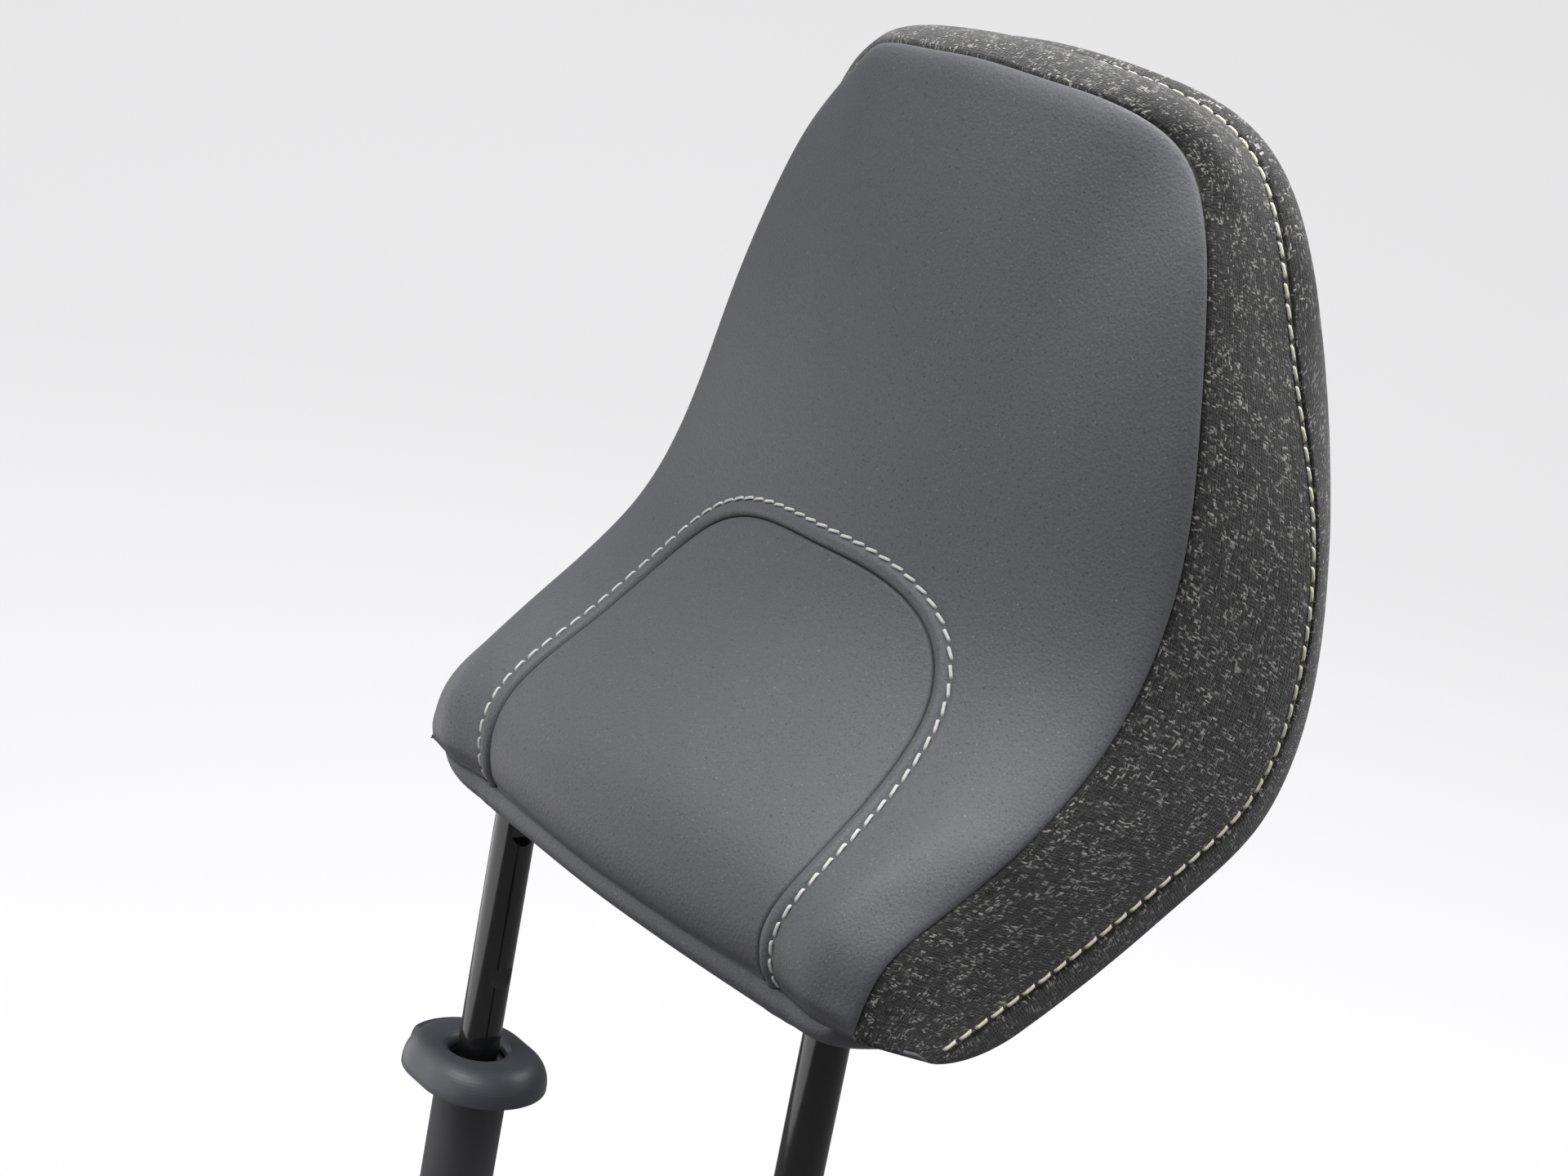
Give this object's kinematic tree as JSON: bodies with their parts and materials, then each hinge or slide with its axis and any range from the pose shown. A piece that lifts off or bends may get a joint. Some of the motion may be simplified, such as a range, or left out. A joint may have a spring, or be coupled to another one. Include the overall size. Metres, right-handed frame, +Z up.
{
  "type": "headrest",
  "caption": "Upholstered head restraint with a forward-curving pad on two posts that slide in locking guide sleeves.",
  "frame": {"origin": "on the axis of the locking guide, on the plane that its flange seats on", "axes": "+Z up along the posts, -Y the way the face looks, +X from the locking guide to the free guide 144 mm away"},
  "size_m": [0.22, 0.1411, 0.452],
  "materials": {
    "sleeve_plastic": "moulded black plastic",
    "liner_plastic": "natural slippery plastic",
    "spring_steel": "bright spring steel",
    "escutcheon_plastic": "fine satin grain, dark grey",
    "button_plastic": "fine satin grain, darker grey",
    "slider_steel": "zinc plated",
    "post_paint": "satin gloss black paint",
    "carrier_plastic": "moulded black plastic",
    "screw_steel": "zinc plated",
    "foam": "moulded polyurethane foam with a skin",
    "leatherette": "fine pebbled grain, dark grey, soft satin",
    "melange_fabric": "charcoal melange weave with light flecks",
    "white_thread": "twisted off-white thread",
    "cream_thread": "twisted cream thread",
    "strip_plastic": "extruded black plastic"
  },
  "bodies": {
    "guides": {"guide_sleeve_lock": "sleeve_plastic", "guide_sleeve_free": "sleeve_plastic", "guide_bushes_lock": "liner_plastic", "guide_bushes_free": "liner_plastic", "rattle_spring_lock": "spring_steel", "rattle_spring_free": "spring_steel", "escutcheon_lock": "escutcheon_plastic", "escutcheon_free": "escutcheon_plastic", "lock_spring": "spring_steel"},
    "lock": {"lock_button": "button_plastic", "lock_slider": "slider_steel"},
    "headrest": {"post_frame": "post_paint", "carrier_front": "carrier_plastic", "carrier_rear": "carrier_plastic", "carrier_screws": "screw_steel", "foam_core": "foam", "cover_face": "leatherette", "cover_neck": "leatherette", "cover_border": "melange_fabric", "cover_back": "melange_fabric", "cover_underside": "leatherette", "neck_stitching": "white_thread", "border_stitching": "cream_thread", "closing_strip_front": "strip_plastic", "closing_strip_rear": "strip_plastic"}
  },
  "joints": [
    {"name": "height_slide", "type": "slide", "parent": "guides", "child": "headrest", "axis": [0, 0, 1], "range_m": [-0.073, 0.0148]},
    {"name": "lock_press", "type": "slide", "parent": "guides", "child": "lock", "axis": [1, 0, 0], "range_m": [0, 0.003], "stiffness_N_per_m": 900, "springref_m": -0.004, "deforming": ["lock_spring"]}
  ]
}
